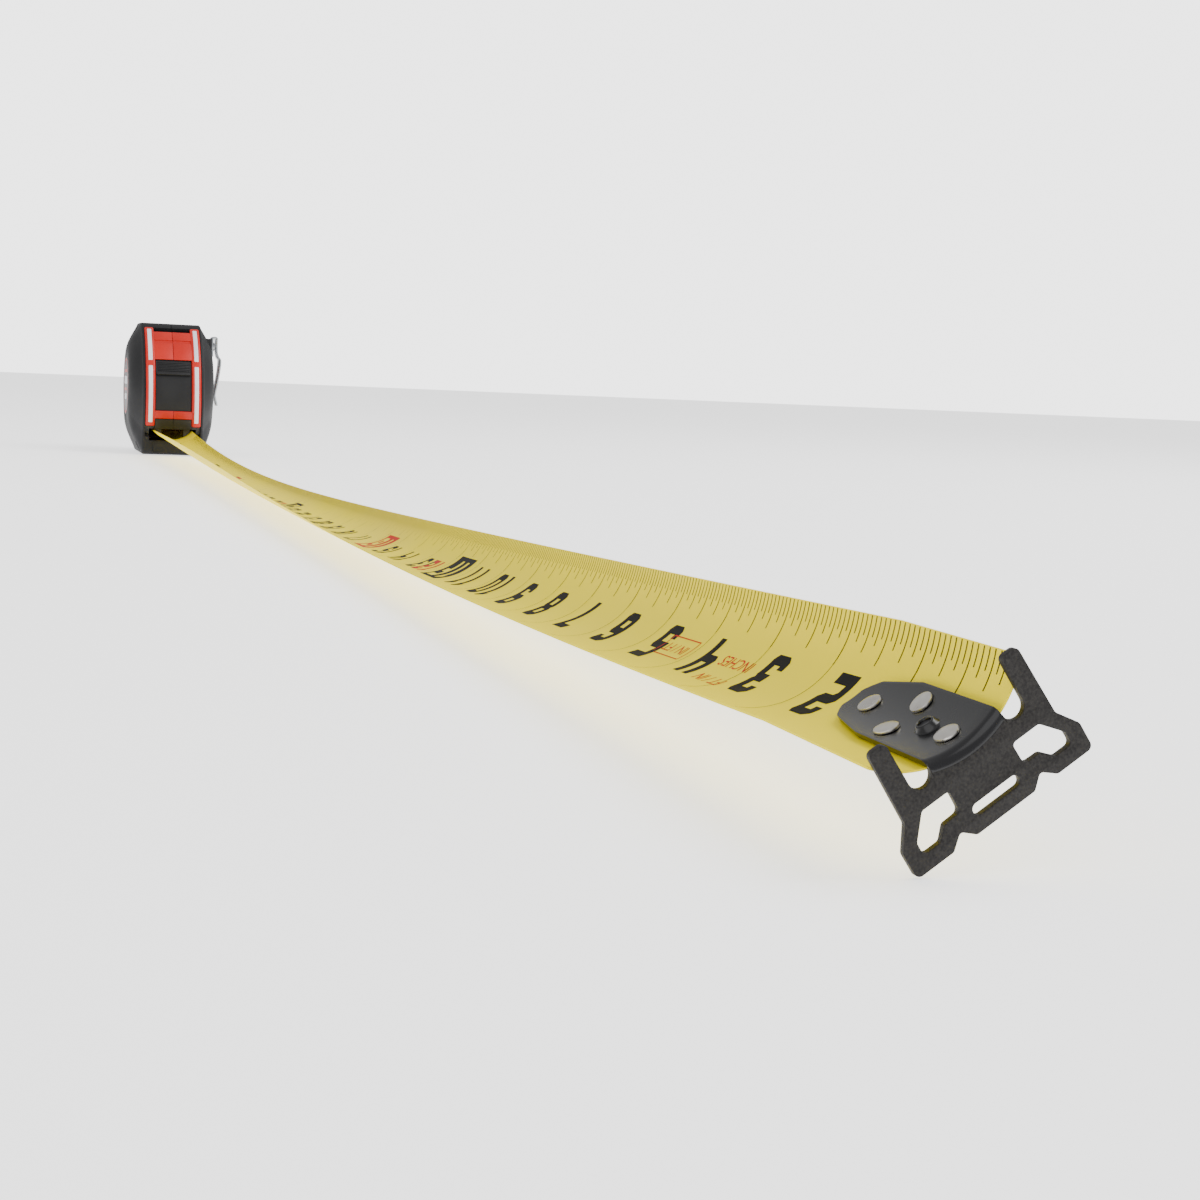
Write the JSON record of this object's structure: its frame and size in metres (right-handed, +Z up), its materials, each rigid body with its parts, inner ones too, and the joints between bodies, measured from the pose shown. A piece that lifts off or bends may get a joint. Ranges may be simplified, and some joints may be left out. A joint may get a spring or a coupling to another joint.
{
  "type": "pocket tape measure",
  "caption": "Pocket tape measure with a rubber-gripped case, spring reel, thumb lock, belt clip and a curved yellow blade drawn out to a sliding end hook.",
  "frame": {"origin": "on the surface the case rests on, straight below the reel's axis", "axes": "+X the way the blade is drawn out, +Y towards the belt clip along the reel's axis, +Z up"},
  "size_m": [1.2061, 0.0648, 0.09],
  "materials": {
    "shell": "fine-textured black moulding",
    "rubber": "soft matt black overmould",
    "red_plastic": "glossy red",
    "white_plastic": "silvery white",
    "felt": "brown friction felt",
    "spring_steel": "bare spring steel",
    "clip_steel": "plated spring steel",
    "nylon": "natural nylon",
    "plated_steel": "zinc plated",
    "label_left": "printed disc",
    "label_right": "textured disc",
    "lock_plastic": "black, ribbed",
    "wedge_plastic": "grey moulding",
    "reel_plastic": "dark grey moulding",
    "blade_enamel": "glossy yellow enamel",
    "rivet_nickel": "nickel plated",
    "hook_black": "black powder coat"
  },
  "bodies": {
    "case": {"case_left": "shell", "case_right": "shell", "grip_left": "rubber", "grip_right": "rubber", "rail_left": "red_plastic", "rail_right": "red_plastic", "stripe_left_upper": "white_plastic", "stripe_left_lower": "white_plastic", "stripe_right_upper": "white_plastic", "stripe_right_lower": "white_plastic", "bumper": "rubber", "brake_pad": "felt", "lock_spring": "spring_steel", "arbor": "plated_steel", "washer_left": "nylon", "washer_right": "nylon", "case_screw_1": "plated_steel", "case_screw_2": "plated_steel", "case_screw_3": "plated_steel", "case_screw_4": "plated_steel", "belt_clip": "clip_steel", "clip_screw": "plated_steel", "label_left": "label_left", "label_right": "label_right"},
    "lock": {"thumb_lock": "lock_plastic", "lock_wedge": "wedge_plastic"},
    "reel": {"reel_drum": "reel_plastic", "reel_flange": "reel_plastic", "blade_coil": "blade_enamel", "power_spring": "spring_steel"},
    "blade_run": {"blade": "blade_enamel"},
    "blade_end": {"blade_tip": "blade_enamel", "rivet_1": "rivet_nickel", "rivet_2": "rivet_nickel", "rivet_3": "rivet_nickel", "rivet_4": "rivet_nickel"},
    "hook": {"hook_plate": "hook_black"}
  },
  "joints": [
    {"name": "blade_pull", "type": "slide", "parent": "case", "child": "blade_run", "axis": [1, 0, 0], "range_m": [-1.1183, 0], "deforming": ["blade"]},
    {"name": "hook_roll", "type": "hinge", "parent": "blade_run", "child": "blade_end", "pos_m": [1.14068, -0.01015, 0.01356], "axis": [1, 0, 0], "range_deg": [-34.7, 0]},
    {"name": "hook_play", "type": "slide", "parent": "blade_end", "child": "hook", "axis": [1, 0, 0], "range_m": [0, 0.001]},
    {"name": "reel_turn", "type": "hinge", "parent": "case", "child": "reel", "pos_m": [0, 0, 0.046], "axis": [0, 1, 0], "range_deg": [0, 2143]},
    {"name": "lock_slide", "type": "hinge", "parent": "case", "child": "lock", "pos_m": [-0.017, 0, 0.036], "axis": [0, -1, 0], "range_deg": [0, 5.6]}
  ],
  "couplings": [
    {"joint": "reel_turn", "follows": "blade_pull", "rad_per_m": -33.445},
    {"joint": "hook_roll", "follows": "blade_pull", "rad_per_m": 0.54}
  ]
}
